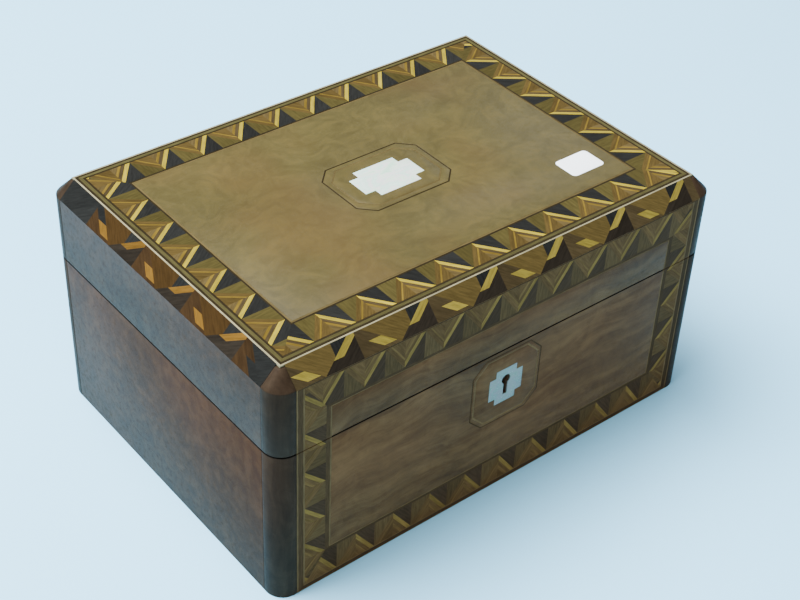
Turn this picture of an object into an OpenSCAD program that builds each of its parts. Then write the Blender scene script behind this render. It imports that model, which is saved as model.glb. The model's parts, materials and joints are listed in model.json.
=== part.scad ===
// Veneered table box: hinged lid, box lock, lift-out tray.
// +X is the long way, +Y goes back to the hinges, +Z is up.
// The origin is the centre of the box's underside.

/* [Box] */
// Length of the box from left to right
box_l = 280; // [220:1:340]
// Depth of the box from front to back
box_d = 200; // [160:1:240]
// Height of the closed box
box_h = 140; // [135:1:170]
// Height of the seam between base and lid
seam_z = 93; // [88:0.5:100]
// Gap along the seam when the lid is down
seam_gap = 0.4; // [0.2:0.1:0.6]
// Radius of the upright corners
corner_r = 10; // [6:0.5:11]
// Width and height of the chamfer round the lid
bevel = 9; // [6:0.5:9]

/* [Boards] */
// Thickness of a wall, face veneer included
wall_t = 11.5; // [11.5:0.5:14]
// Thickness of the face veneer and its inlay
veneer_t = 1; // [0.8:0.1:1.2]
// Thickness of the bottom board
bottom_t = 6; // [5:0.5:9]
// Thickness of the lid's top board
lid_board_t = 7; // [5:0.5:8]
// Thickness of the paper-covered lining boards
lining_t = 1.5; // [1:0.1:2]

/* [Lid inlay] */
// Width of the pale line along the arris
edging_w = 1; // [0.8:0.1:1.5]
// Width of the group of lines outside the banding
outer_lines_w = 4.2; // [3:0.1:5]
// Width of the banding on the lid's top
top_band_w = 15.6; // [12:0.1:18]
// Width of the pair of lines inside the banding
inner_lines_w = 2; // [1.5:0.1:3]
// Length of the mother-of-pearl cartouche
cartouche_l = 38; // [30:1:44]
// Width of the mother-of-pearl cartouche
cartouche_w = 24.5; // [18:0.5:28]

/* [Front inlay] */
// Width of the lines beside the corner posts
post_lines_w = 4.5; // [3:0.1:6]
// Width of the upright bandings
side_band_w = 12; // [10:0.5:16]
// Width of the lines inside the upright bandings
side_lines_w = 3.2; // [2:0.1:4]
// Height of the line under the bottom banding
foot_line_h = 3.6; // [2:0.1:5]
// Width of the level bandings on the front
front_band_w = 16; // [12:0.5:18]
// Width of the lines inside the level bandings
front_lines_w = 2; // [1.5:0.1:3]
// Width and height of the mother-of-pearl escutcheon
escutcheon_w = 22; // [20:0.5:28]

/* [Lock] */
// Width of the lock case
lock_w = 50; // [48:1:60]
// Height of the lock case under its selvedge
lock_h = 38; // [36:1:44]
// Travel of the bolt
bolt_travel = 5; // [4.5:0.1:5]
// Height of the key's axis above the underside
key_z = 72.5; // [70:0.5:74]

/* [Hinges] */
// Length of each hinge
hinge_l = 38; // [30:1:45]
// Distance of each hinge from the middle of the box
hinge_x = 85; // [60:1:90]
// Outer radius of the hinge knuckles
knuckle_r = 2.2; // [2:0.1:2.2]
// Radius of the hinge pin
pin_r = 1; // [0.8:0.1:1.1]
// Angle at which the hinges stop the lid
stop_angle = 96; // [92:1:100]

/* [Tray] */
// Height of the lift-out tray
tray_h = 28; // [20:1:28]
// Height of the ledges' top above the underside
ledge_z = 60; // [50:1:60]
// Thickness of the tray's walls
tray_wall_t = 4; // [3:0.5:5]
// Distance of each cross divider from the middle
divider_x = 60; // [40:1:75]

/* [Hidden] */
$fn = 48;
fit = 0.05;             // room left round metal let into wood
cut = 1;                // how far a cutter runs past a face
out_x = box_l / 2;
out_y = box_d / 2;
in_x = out_x - wall_t;  // inner faces of the walls
in_y = out_y - wall_t;
face_y = out_y - veneer_t;
face_x = out_x - veneer_t;
base_top = seam_z - seam_gap / 2;
lid_foot = seam_z + seam_gap / 2;
bevel_z = box_h - bevel;                // where the chamfer starts
ground_z = box_h - veneer_t;            // top of the wood under the veneer
under_bevel = veneer_t * sqrt(2);       // level thickness of a chamfer strip
skin_z = 0.3;                           // lower edge of the veneers

// distances of the lid's lines and bandings from the outer planes
edging_in = bevel + edging_w;
top_band_out = edging_in + outer_lines_w;
top_band_in = top_band_out + top_band_w;
field_in = top_band_in + inner_lines_w;

// half widths and heights of the front's lines and bandings
lines_x = out_x - wall_t;
band_out_x = lines_x - post_lines_w;
band_in_x = band_out_x - side_band_w;
panel_x = band_in_x - side_lines_w;
low_band_z = foot_line_h;
low_band_top = low_band_z + front_band_w;
base_panel_z = low_band_top + front_lines_w;
high_band_top = bevel_z - 1.2;
high_band_z = high_band_top - front_band_w;
lid_panel_z = high_band_z - front_lines_w;
mitre_gap = 0.1;

string_t = 0.6;         // depth of a string let into the veneer
string_w = 0.8;
pearl_t = 0.8;
octagon_cut = 8;
lid_oct = [[62, 45], [55, 38]];     // dark and pale lines round the cartouche
lock_oct = [[46, 44], [42.5, 40.5]]; // dark and pale lines round the escutcheon
escutcheon_z = 69;

// lock, all inside the front wall
plate_t = 1.5;
cap_t = 1;
lock_deep = 7;
cap_y = -in_y - lock_deep;
lock_z = base_top - lock_h;
selvedge_l = lock_w + 10;
selvedge_y = -in_y - 9.5;
selvedge_z = base_top - plate_t;
key_r = 2.8;
key_slot = 2.8;
key_foot = 63;
drill_pin_r = 1.1;
staple_x = 9;
staple_t = 2;
staple_low = 84.5;
staple_y = [-in_y - 5.5, -in_y - 1.9];
eye_y = [-in_y - 4.7, -in_y - 2.7];
eye_z = [86, 90];
bolt_y = [-in_y - 4.5, -in_y - 2.9];
finger_z = [86.4, 89.5];
finger_gap = 0.7;                   // room before a staple when unlocked
bolt_z = [78, 84];
guide_x = -13;
guide_z = 81;
guide_r = 1;
link_l = 44;
link_screw_x = 17;

// hinges
leaf_t = 1.6;
leaf_w = 10;
knuckles = 5;
knuckle_gap = 0.15;
barrel_room = 0.25;
nib_r = [knuckle_r + 0.35, 5];
nib_low = stop_angle / 2;
nib_high = 88;
pin_room = 0.05;
screw_x = [-13, 0, 13];
screw_back = 6;                     // distance of the screws from the back plane

// countersunk screw
head_r = 1.9;
shank_r = 0.9;
head_h = 1.2;
screw_l = 8;

// tray and its ledges
tray_room = 0.6;
tray_x = in_x - lining_t - tray_room;
tray_y = in_y - lining_t - tray_room;
tray_z = ledge_z + 0.1;
tray_floor_t = 3;
divider_t = 3;
divider_drop = 2;
ledge_w = 5;
ledge_h = 8;
lining_top = seam_z - 3;
pad_t = 5.3;
card_t = 1.2;

// woods and metals
walnut = "#6b4a2b";
field = "#8f7a48";
ebony = "#2b2a2c";
pine = "#b08d5a";
boxwood = "#d9cf9a";
rosewood = "#74502f";
pearl = "#dfe9e6";
brass = "#c9a24a";
steel = "#8d9094";
paper = "#5a3038";

module block(x, y, z)
    translate([x[0], y[0], z[0]]) cube([x[1] - x[0], y[1] - y[0], z[1] - z[0]]);

// a copy at each end of the X axis
module both_ends() for (s = [0, 1]) mirror([s, 0, 0]) children();

// a copy at each of the four upright corners
module four_corners() for (s = [0, 1], t = [0, 1]) mirror([s, 0, 0]) mirror([0, t, 0]) children();

// a flat outline in X and Z, laid on the front wall and going in by deep
module on_front(deep) translate([0, deep - out_y, 0]) rotate([90, 0, 0]) linear_extrude(deep) children();

// an outline in Y and Z, drawn out along X
module along_x(x0, x1) translate([x0, 0, 0]) rotate([90, 0, 90]) linear_extrude(x1 - x0) children();

// a rectangle about the origin with its corners cut off
module octagon(size, corner) {
    a = size[0] / 2;
    b = size[1] / 2;
    polygon([[-a + corner, -b], [a - corner, -b], [a, -b + corner], [a, b - corner],
        [a - corner, b], [-a + corner, b], [-a, b - corner], [-a, -b + corner]]);
}

module octagon_line(size, corner, w) {
    difference() {
        octagon(size, corner);
        octagon([size[0] - 2 * w, size[1] - 2 * w], corner - w * 0.6);
    }
}

// a plate outline with a square step in each corner
module stepped(l, w, step_l, step_w) {
    square([l, w - 2 * step_w], center = true);
    square([l - 2 * step_l, w], center = true);
}

module countersunk(room = 0, l = screw_l) {
    translate([0, 0, -head_h]) cylinder(r1 = shank_r + room, r2 = head_r + room, h = head_h);
    translate([0, 0, -l]) cylinder(r = shank_r + room, h = l - head_h + 0.01);
}

module slotted_screw() {
    difference() {
        countersunk();
        translate([-head_r - cut, -0.3, -0.5]) cube([2 * (head_r + cut), 0.6, 1]);
    }
}

/* ---- hinges ---- */

module at_hinge(side) translate([side * hinge_x, out_y, seam_z]) children();

module round_x(r, x0, x1) translate([x0, 0, 0]) rotate([0, 90, 0]) cylinder(r = r, h = x1 - x0);

// where knuckle number n of a hinge begins
function knuckle_x(n) = -hinge_l / 2 + n * hinge_l / knuckles;

module knuckle(n, r, room) {
    step = hinge_l / knuckles;
    round_x(r, knuckle_x(n) - room, knuckle_x(n) + step - knuckle_gap + room);
}

function polar(r, a) = [r * cos(a), r * sin(a)];

module nib_outline(r0, up)
    polygon([polar(r0, up * nib_low), polar(nib_r[1], up * nib_low),
        polar(nib_r[1], up * nib_high), polar(r0, up * nib_high)]);

// up is 1 for the lid's leaf and -1 for the base's; own lists its knuckles
module leaf(up, own, others) {
    low = up > 0 ? seam_gap / 2 : -seam_gap / 2 - leaf_t;
    color(brass) difference() {
        union() {
            difference() {
                union() {
                    translate([-hinge_l / 2, -leaf_w, low]) cube([hinge_l, leaf_w, leaf_t]);
                    along_x(-hinge_l / 2, hinge_l / 2) nib_outline(nib_r[0], up);
                }
                for (n = others) knuckle(n, knuckle_r + barrel_room, knuckle_gap / 2);
            }
            for (n = own) {
                knuckle(n, knuckle_r, 0);
                along_x(knuckle_x(n), knuckle_x(n + 1) - knuckle_gap) nib_outline(knuckle_r - 0.5, up);
            }
        }
        round_x(pin_r + pin_room, -hinge_l, hinge_l);
        for (x = screw_x) translate([x, -screw_back, up * seam_gap / 2])
            rotate([up > 0 ? 180 : 0, 0, 0]) countersunk(fit);
    }
}

module base_leaf() leaf(-1, [0, 2, 4], [1, 3]);
module lid_leaf() leaf(1, [1, 3], [0, 2, 4]);

module left_hinge_base_leaf() at_hinge(-1) base_leaf();
module right_hinge_base_leaf() at_hinge(1) base_leaf();
module left_hinge_lid_leaf() at_hinge(-1) lid_leaf();
module right_hinge_lid_leaf() at_hinge(1) lid_leaf();

module hinge_pins() color(steel) for (s = [-1, 1]) at_hinge(s) round_x(pin_r, -hinge_l / 2, hinge_l / 2);

module hinge_screws(up) color(brass) for (s = [-1, 1], x = screw_x) at_hinge(s)
    translate([x, -screw_back, up * seam_gap / 2]) rotate([up > 0 ? 180 : 0, 0, 0]) slotted_screw();

module base_hinge_screws() hinge_screws(-1);
module lid_hinge_screws() hinge_screws(1);

// what is cut from the back walls and their veneer for the hinges
module hinge_mortises() for (s = [-1, 1]) at_hinge(s) {
    half = hinge_l / 2 + fit;
    thick = leaf_t + seam_gap / 2 + fit;
    translate([-half, -leaf_w - fit, -thick]) cube([2 * half, leaf_w + cut, 2 * thick]);
    round_x(knuckle_r + barrel_room, -half, half);
    for (x = screw_x, up = [-1, 1]) translate([x, -screw_back, up * seam_gap / 2])
        rotate([up > 0 ? 180 : 0, 0, 0]) countersunk(fit, screw_l + 0.2);
}

/* ---- lock ---- */

module keyhole() {
    translate([0, key_z]) circle(key_r);
    translate([-key_slot / 2, key_foot]) square([key_slot, key_z - key_foot]);
}

module lock_screw_places(room) for (x = [-1, 1])
    translate([x * (lock_w / 2 + 2.6), -in_y - 4.8, base_top]) children();

module lock_pocket() {
    half = lock_w / 2 + fit;
    block([-half, half], [cap_y - fit, -in_y + cut], [lock_z - fit, base_top + cut]);
    block([-selvedge_l / 2 - fit, selvedge_l / 2 + fit], [selvedge_y - fit, -in_y + cut],
        [selvedge_z - fit, base_top + cut]);
    lock_screw_places() countersunk(fit, screw_l + 0.2);
}

module lock_case() {
    rim = 1.2;
    half = lock_w / 2;
    back = [-in_y - plate_t, -in_y];
    inside = [cap_y + cap_t, back[0]];
    color(brass) difference() {
        union() {
            block([-half, half], back, [lock_z, selvedge_z]);
            both_ends() block([-half, -half + rim], inside, [lock_z, selvedge_z]);
            block([-half, half], inside, [lock_z, lock_z + rim]);
            block([-selvedge_l / 2, selvedge_l / 2], [selvedge_y, -in_y], [selvedge_z, base_top]);
            translate([guide_x, inside[1], guide_z]) rotate([90, 0, 0])
                cylinder(r = guide_r, h = inside[1] - inside[0]);
        }
        both_ends() block([staple_x - 1.5, staple_x + 1.5],
            [staple_y[0] - 0.7, staple_y[1] + 0.35], [selvedge_z - cut, base_top + cut]);
        lock_screw_places() countersunk(fit);
    }
}

module lock_cap() color(brass) difference() {
    block([-lock_w / 2, lock_w / 2], [cap_y, cap_y + cap_t], [lock_z, selvedge_z]);
    translate([0, cap_y + 2 * cap_t, 0]) rotate([90, 0, 0]) linear_extrude(3 * cap_t) keyhole();
}

module lock_drill_pin() color(steel) translate([0, -in_y - plate_t, key_z]) rotate([90, 0, 0])
    cylinder(r = drill_pin_r, h = 7);

module lock_bolt() {
    tip = -staple_x - staple_t / 2 - finger_gap;
    pitch = 2 * staple_x;
    slot_x = [guide_x - bolt_travel - guide_r - 0.15, guide_x + guide_r + 0.15];
    color(brass) difference() {
        union() {
            block([-22, 5], bolt_y, bolt_z);
            for (x = [tip, tip + pitch]) {
                block([x - 4.8, x], bolt_y, finger_z);
                block([x - 7.2, x - 4.8], bolt_y, [bolt_z[1], finger_z[1]]);
            }
        }
        block(slot_x, [bolt_y[0] - cut, bolt_y[1] + cut],
            [guide_z - guide_r - 0.1, guide_z + guide_r + 0.1]);
        block([-3, 3], [bolt_y[0] - cut, bolt_y[1] + cut], [bolt_z[0] - cut, bolt_z[0] + 1.8]);
    }
}

module lock_spring() {
    wall = -lock_w / 2 + 1.2;
    color(steel) translate([0, -in_y - 2.4, 0]) rotate([90, 0, 0]) linear_extrude(2.6)
        polygon([[wall, 62], [wall + 0.5, 62], [wall + 0.5, 70], [-12, 77.2], [-7, 76.6],
            [-7, 77], [-12, bolt_z[0] - 0.2], [wall, 70.6]]);
}

module lock_screws() color(brass) lock_screw_places() slotted_screw();

module link_screw_places() for (x = [-1, 1])
    translate([x * link_screw_x, -in_y - 5.2, lid_foot]) rotate([180, 0, 0]) children();

module link_plate() color(brass) difference() {
    union() {
        block([-link_l / 2, link_l / 2], [selvedge_y, -in_y - 1], [lid_foot, lid_foot + plate_t]);
        both_ends() block([staple_x - staple_t / 2, staple_x + staple_t / 2], staple_y,
            [staple_low, lid_foot + 0.5]);
    }
    both_ends() block([staple_x - staple_t, staple_x + staple_t], eye_y, eye_z);
    link_screw_places() countersunk(fit);
}

module link_plate_screws() color(brass) link_screw_places() slotted_screw();

/* ---- base ---- */

// section of a corner post, its rounded corner at the origin
module post_outline() intersection() {
    square(wall_t);
    union() {
        translate([corner_r, corner_r]) circle(corner_r);
        translate([corner_r, 0]) square(wall_t);
        translate([0, corner_r]) square(wall_t);
    }
}

module at_corner() four_corners() translate([-out_x, -out_y, 0]) children();

module base_bottom() color(pine) block([-in_x, in_x], [-in_y, in_y], [0, bottom_t]);

module base_front() color(pine) difference() {
    block([-in_x, in_x], [-face_y, -in_y], [0, base_top]);
    lock_pocket();
    on_front(wall_t) keyhole();
}

module base_back() color(pine) difference() {
    block([-in_x, in_x], [in_y, face_y], [0, base_top]);
    hinge_mortises();
}

module side_board(z) block([-face_x, -in_x], [-in_y, in_y], z);

module base_left() color(pine) side_board([0, base_top]);
module base_right() color(pine) mirror([1, 0, 0]) side_board([0, base_top]);

module base_corner_posts() color(ebony) at_corner() linear_extrude(base_top) post_outline();

// dark and pale lines round the lock, as outlines in X and Z
module lock_lines() translate([0, escutcheon_z]) for (size = lock_oct)
    octagon_line(size, octagon_cut, string_w);

module escutcheon_outline() translate([0, escutcheon_z])
    stepped(escutcheon_w, escutcheon_w, escutcheon_w * 0.19, escutcheon_w * 0.19);

module base_front_veneer() color(walnut) difference() {
    on_front(veneer_t) translate([-panel_x, base_panel_z]) square([2 * panel_x, base_top - base_panel_z]);
    on_front(veneer_t + cut) keyhole();
    translate([0, -cut, 0]) {
        on_front(string_t + cut) lock_lines();
        on_front(pearl_t + cut) escutcheon_outline();
    }
}

module escutcheon() color(pearl) difference() {
    on_front(pearl_t) escutcheon_outline();
    translate([0, -cut, 0]) on_front(pearl_t + 2 * cut) keyhole();
}

module side_veneers(z) {
    both_ends() block([-out_x, -face_x], [-in_y, in_y], z);
    difference() {
        block([-in_x, in_x], [face_y, out_y], z);
        hinge_mortises();
    }
}

module base_side_veneers() color(walnut) side_veneers([skin_z, base_top]);

// three sides of a frame on the front, open towards the seam; foot is its closed level
module open_frame(x_out, x_in, z_out, z_in, seam)
    polygon([[-x_out, z_out], [x_out, z_out], [x_out, seam], [x_in, seam],
        [x_in, z_in], [-x_in, z_in], [-x_in, seam], [-x_out, seam]]);

module mitred_strips(x_out, x_in, z_out, z_in, seam) {
    polygon([[-x_out + mitre_gap, z_out], [x_out - mitre_gap, z_out],
        [x_in - mitre_gap, z_in], [-x_in + mitre_gap, z_in]]);
    for (s = [-1, 1])
        polygon([[s * x_out, z_out], [s * x_in, z_in], [s * x_in, seam], [s * x_out, seam]]);
}

module base_front_banding() color(rosewood) on_front(veneer_t)
    mitred_strips(band_out_x, band_in_x, low_band_z, low_band_top, base_top);

module base_front_stringing() color(boxwood) {
    on_front(veneer_t) {
        open_frame(lines_x, band_out_x, skin_z, low_band_z, base_top);
        open_frame(band_in_x, panel_x, low_band_top, base_panel_z, base_top);
    }
    on_front(string_t) lock_lines();
}

module wall_linings(z) {
    for (t = [0, 1]) mirror([0, t, 0])
        block([-in_x, in_x], [-in_y, -in_y + lining_t], z);
    both_ends() block([-in_x, -in_x + lining_t], [-in_y + lining_t, in_y - lining_t], z);
}

module base_wall_linings() color(paper) wall_linings([bottom_t, lining_top]);

module base_floor_lining() color(paper) block([-in_x + lining_t, in_x - lining_t],
    [-in_y + lining_t, in_y - lining_t], [bottom_t, bottom_t + 1]);

module ledge() block([-in_x + lining_t, -in_x + lining_t + ledge_w],
    [-in_y + wall_t, in_y - wall_t], [ledge_z - ledge_h, ledge_z]);

module left_tray_ledge() color(pine) ledge();
module right_tray_ledge() color(pine) mirror([1, 0, 0]) ledge();

/* ---- lid ---- */

// section of a rail: distance in from the outer plane, and height
module rail_section() polygon([[veneer_t, lid_foot], [veneer_t, bevel_z], [under_bevel, bevel_z],
    [bevel, box_h - under_bevel], [bevel, ground_z], [wall_t, ground_z], [wall_t, lid_foot]]);

module front_rail() translate([0, -out_y, 0]) along_x(-in_x, in_x) rail_section();

module side_rail() translate([-out_x, in_y, 0]) rotate([90, 0, 0]) linear_extrude(2 * in_y) rail_section();

module lid_front() color(pine) difference() {
    front_rail();
    block([-link_l / 2 - fit, link_l / 2 + fit], [selvedge_y - fit, -in_y - 1 + fit],
        [lid_foot - cut, lid_foot + plate_t + fit]);
    link_screw_places() countersunk(fit, screw_l + 0.2);
}

module lid_back() color(pine) difference() {
    mirror([0, 1, 0]) front_rail();
    hinge_mortises();
}

module lid_left() color(pine) side_rail();
module lid_right() color(pine) mirror([1, 0, 0]) side_rail();

module lid_top() color(pine) block([-in_x, in_x], [-in_y, in_y], [ground_z - lid_board_t, ground_z]);

module lid_post() {
    slope = bevel - veneer_t;
    translate([0, 0, lid_foot]) linear_extrude(bevel_z - lid_foot) post_outline();
    intersection() {
        translate([corner_r, corner_r, bevel_z])
            cylinder(r1 = corner_r, r2 = corner_r - slope, h = slope);
        translate([0, 0, bevel_z]) cube([wall_t, wall_t, slope]);
    }
    section = [[0, bevel_z], [slope, bevel_z + slope], [wall_t, bevel_z + slope], [wall_t, bevel_z]];
    along_x(corner_r, wall_t) polygon(section);
    translate([0, wall_t, 0]) rotate([90, 0, 0]) linear_extrude(wall_t - corner_r) polygon(section);
}

module lid_corner_posts() color(ebony) at_corner() lid_post();

module lid_front_veneer() color(walnut) on_front(veneer_t)
    translate([-panel_x, lid_foot]) square([2 * panel_x, lid_panel_z - lid_foot]);

module lid_side_veneers() color(walnut) side_veneers([lid_foot, bevel_z]);

module lid_front_banding() color(rosewood) on_front(veneer_t)
    mitred_strips(band_out_x, band_in_x, high_band_top, high_band_z, lid_foot);

module lid_front_stringing() color(boxwood) on_front(veneer_t) {
    open_frame(lines_x, band_out_x, bevel_z, high_band_top, lid_foot);
    open_frame(band_in_x, panel_x, high_band_z, lid_panel_z, lid_foot);
}

module bevel_section() polygon([[0, bevel_z], [bevel, box_h],
    [bevel, box_h - under_bevel], [under_bevel, bevel_z]]);

module lid_bevel_banding() color(rosewood) {
    for (t = [0, 1]) mirror([0, t, 0]) translate([0, -out_y, 0]) along_x(-in_x, in_x) bevel_section();
    both_ends() translate([-out_x, in_y, 0]) rotate([90, 0, 0]) linear_extrude(2 * in_y) bevel_section();
}

// a flat frame of the top, between two distances from the outer planes
module top_frame(d0, d1) translate([0, 0, ground_z]) linear_extrude(veneer_t) difference() {
    square([box_l - 2 * d0, box_d - 2 * d0], center = true);
    square([box_l - 2 * d1, box_d - 2 * d1], center = true);
}

module lid_edging() color(boxwood) top_frame(bevel, edging_in);

module top_strip(half_out, half_in, y_out, y_in, gap)
    polygon([[-half_out + gap, -y_out], [half_out - gap, -y_out],
        [half_in - gap, -y_in], [-half_in + gap, -y_in]]);

module lid_top_banding() {
    ax = out_x - top_band_out;
    bx = out_x - top_band_in;
    ay = out_y - top_band_out;
    by = out_y - top_band_in;
    color(rosewood) translate([0, 0, ground_z]) linear_extrude(veneer_t) {
        for (t = [0, 1]) mirror([0, t, 0]) top_strip(ax, bx, ay, by, mitre_gap);
        for (a = [90, 270]) rotate(a) top_strip(ay, by, ax, bx, 0);
    }
}

module cartouche_lines() for (size = lid_oct) octagon_line(size, octagon_cut, string_w);

module lid_top_stringing() color(boxwood) {
    top_frame(edging_in, top_band_out);
    top_frame(top_band_in, field_in);
    translate([0, 0, box_h - string_t]) linear_extrude(string_t) cartouche_lines();
}

module cartouche_outline() stepped(cartouche_l, cartouche_w, 6, 5);

module lid_field_veneer() color(field) difference() {
    translate([0, 0, ground_z]) linear_extrude(veneer_t)
        square([box_l - 2 * field_in, box_d - 2 * field_in], center = true);
    translate([0, 0, box_h - string_t]) linear_extrude(cut) cartouche_lines();
    translate([0, 0, box_h - pearl_t]) linear_extrude(cut) cartouche_outline();
}

module lid_cartouche() color(pearl) translate([0, 0, box_h - pearl_t]) linear_extrude(pearl_t)
    cartouche_outline();

module lot_label() {
    size = [22, 16];
    r = 2.5;
    color("white") translate([89.5, -49, box_h]) linear_extrude(0.2) {
        square([size[0] - 2 * r, size[1]], center = true);
        square([size[0], size[1] - 2 * r], center = true);
        for (x = [-1, 1], y = [-1, 1])
            translate([x * (size[0] / 2 - r), y * (size[1] / 2 - r)]) circle(r);
    }
}

module lid_wall_linings() color(paper) wall_linings([lid_foot + 2, ground_z - lid_board_t]);

module lining_slab(in, top, thick) block([-in_x + in, in_x - in], [-in_y + in, in_y - in],
    [top - thick, top]);

module lid_lining_card() color(paper) lining_slab(lining_t, ground_z - lid_board_t, card_t);

module lid_lining_pad() color("#7d3342") lining_slab(lining_t + 2, ground_z - lid_board_t - card_t, pad_t);

/* ---- tray ---- */

tray_top = tray_z + tray_h;
tray_in_x = tray_x - tray_wall_t;
tray_in_y = tray_y - tray_wall_t;

module tray_floor() color(pine) block([-tray_in_x, tray_in_x], [-tray_in_y, tray_in_y],
    [tray_z, tray_z + tray_floor_t]);

module long_wall() block([-tray_x, tray_x], [-tray_y, -tray_in_y], [tray_z, tray_top]);
module end_wall() block([-tray_x, -tray_in_x], [-tray_in_y, tray_in_y], [tray_z, tray_top]);

module tray_front_wall() color(rosewood) long_wall();
module tray_back_wall() color(rosewood) mirror([0, 1, 0]) long_wall();
module tray_left_wall() color(rosewood) end_wall();
module tray_right_wall() color(rosewood) mirror([1, 0, 0]) end_wall();

module tray_dividers() color(rosewood) both_ends() {
    tall = [tray_z + tray_floor_t, tray_top - divider_drop];
    block([-divider_x - divider_t, -divider_x], [-tray_in_y, tray_in_y], tall);
    block([-tray_in_x, -divider_x - divider_t], [-divider_t / 2, divider_t / 2], tall);
}

base_bottom();
base_front();
base_back();
base_left();
base_right();
base_corner_posts();
base_front_veneer();
base_side_veneers();
base_front_banding();
base_front_stringing();
escutcheon();
base_wall_linings();
base_floor_lining();
left_tray_ledge();
right_tray_ledge();
left_hinge_base_leaf();
right_hinge_base_leaf();
hinge_pins();
base_hinge_screws();
lock_case();
lock_cap();
lock_drill_pin();
lock_spring();
lock_screws();
lock_bolt();
lid_front();
lid_back();
lid_left();
lid_right();
lid_top();
lid_corner_posts();
lid_front_veneer();
lid_side_veneers();
lid_field_veneer();
lid_edging();
lid_top_banding();
lid_bevel_banding();
lid_front_banding();
lid_front_stringing();
lid_top_stringing();
lid_cartouche();
lot_label();
lid_wall_linings();
lid_lining_card();
lid_lining_pad();
left_hinge_lid_leaf();
right_hinge_lid_leaf();
lid_hinge_screws();
link_plate();
link_plate_screws();
tray_floor();
tray_front_wall();
tray_back_wall();
tray_left_wall();
tray_right_wall();
tray_dividers();
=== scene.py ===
import json
import math
import random

import bmesh
import bpy
from mathutils import Matrix, Vector


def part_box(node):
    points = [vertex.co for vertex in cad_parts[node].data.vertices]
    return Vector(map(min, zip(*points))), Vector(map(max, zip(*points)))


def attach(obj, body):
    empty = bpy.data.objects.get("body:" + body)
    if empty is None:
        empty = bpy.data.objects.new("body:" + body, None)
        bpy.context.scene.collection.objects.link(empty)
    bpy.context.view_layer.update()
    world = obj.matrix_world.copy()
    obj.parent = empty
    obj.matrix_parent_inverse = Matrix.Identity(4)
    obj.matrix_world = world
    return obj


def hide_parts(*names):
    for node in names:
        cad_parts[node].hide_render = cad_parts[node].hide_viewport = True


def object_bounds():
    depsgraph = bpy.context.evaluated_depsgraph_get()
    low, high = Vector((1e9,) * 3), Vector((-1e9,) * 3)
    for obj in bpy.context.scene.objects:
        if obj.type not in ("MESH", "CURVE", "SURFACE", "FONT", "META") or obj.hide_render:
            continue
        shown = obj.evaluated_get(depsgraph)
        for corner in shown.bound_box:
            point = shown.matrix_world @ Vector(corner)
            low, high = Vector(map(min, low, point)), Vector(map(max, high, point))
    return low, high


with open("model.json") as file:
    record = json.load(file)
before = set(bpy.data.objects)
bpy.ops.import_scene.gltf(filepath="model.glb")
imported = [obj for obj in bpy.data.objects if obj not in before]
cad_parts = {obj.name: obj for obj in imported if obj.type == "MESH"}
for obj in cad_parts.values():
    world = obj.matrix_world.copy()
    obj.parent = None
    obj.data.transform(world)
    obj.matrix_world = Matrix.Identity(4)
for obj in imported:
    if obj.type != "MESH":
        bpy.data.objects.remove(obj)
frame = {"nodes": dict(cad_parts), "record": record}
cadLow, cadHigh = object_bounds()
record = frame["record"]
bodyOf = {node: body for body, names in record["behaviour"]["bodies"].items() for node in names}
mm = 0.001
seamZ = (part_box("base_side_veneers")[1].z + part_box("lid_side_veneers")[0].z) / 2
print("frame loaded")

# camera, floor and lights

camera = {"azimuth": -40.3, "elevation": 37.92, "roll": 2.78, "distance": 0.9507, "lens": 70.65,
          "aim": (0.0571, 0.0523, 0.0)}


def addCamera():
    a, e, r = (math.radians(camera[key]) for key in ("azimuth", "elevation", "roll"))
    back = Vector((math.sin(a) * math.cos(e), -math.cos(a) * math.cos(e), math.sin(e)))
    level = Vector((math.cos(a), math.sin(a), 0))
    plumb = back.cross(level)
    right = level * math.cos(r) + plumb * math.sin(r)
    up = plumb * math.cos(r) - level * math.sin(r)
    data = bpy.data.cameras.new("camera")
    data.lens = camera["lens"]
    seen = bpy.data.objects.new("camera", data)
    bpy.context.scene.collection.objects.link(seen)
    turn = Matrix((right, up, back)).transposed().to_4x4()
    seen.matrix_world = Matrix.Translation(Vector(camera["aim"]) + back * camera["distance"]) @ turn
    bpy.context.scene.camera = seen


softboxes = {
    "ceiling": {"place": (-0.9, 0.75, 2.3), "aim": (-0.1, 0.15, 0), "size": 2.0, "power": 370,
                "colour": (0.94, 0.97, 1)},
    "hazeBox": {"place": (1.75, 1.15, 1.25), "aim": (0.1, 0, 0.14), "size": 0.9, "power": 8,
                "colour": (0.9, 0.95, 1)},
    "fill": {"place": (-0.6, -1.9, 0.8), "aim": (0, 0, 0.07), "size": 1.2, "power": 20,
             "colour": (1, 0.90, 0.76)},
}
sky = {"colour": (0.80, 0.91, 1.0), "strength": 0.40}


def addSoftbox(name, box):
    data = bpy.data.lights.new(name, "AREA")
    data.size = box["size"]
    data.energy = box["power"]
    data.color = box["colour"]
    lamp = bpy.data.objects.new(name, data)
    bpy.context.scene.collection.objects.link(lamp)
    lamp.location = box["place"]
    away = Vector(box["place"]) - Vector(box["aim"])
    lamp.rotation_euler = away.to_track_quat("Z", "Y").to_euler()


def addWorld():
    world = bpy.data.worlds.new("studio")
    world.use_nodes = True
    light = world.node_tree.nodes["Background"]
    light.inputs["Color"].default_value = (*sky["colour"], 1)
    light.inputs["Strength"].default_value = sky["strength"]
    bpy.context.scene.world = world


addCamera()
for name, box in softboxes.items():
    addSoftbox(name, box)
addWorld()
print("camera and lights placed")

# shader maths


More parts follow.
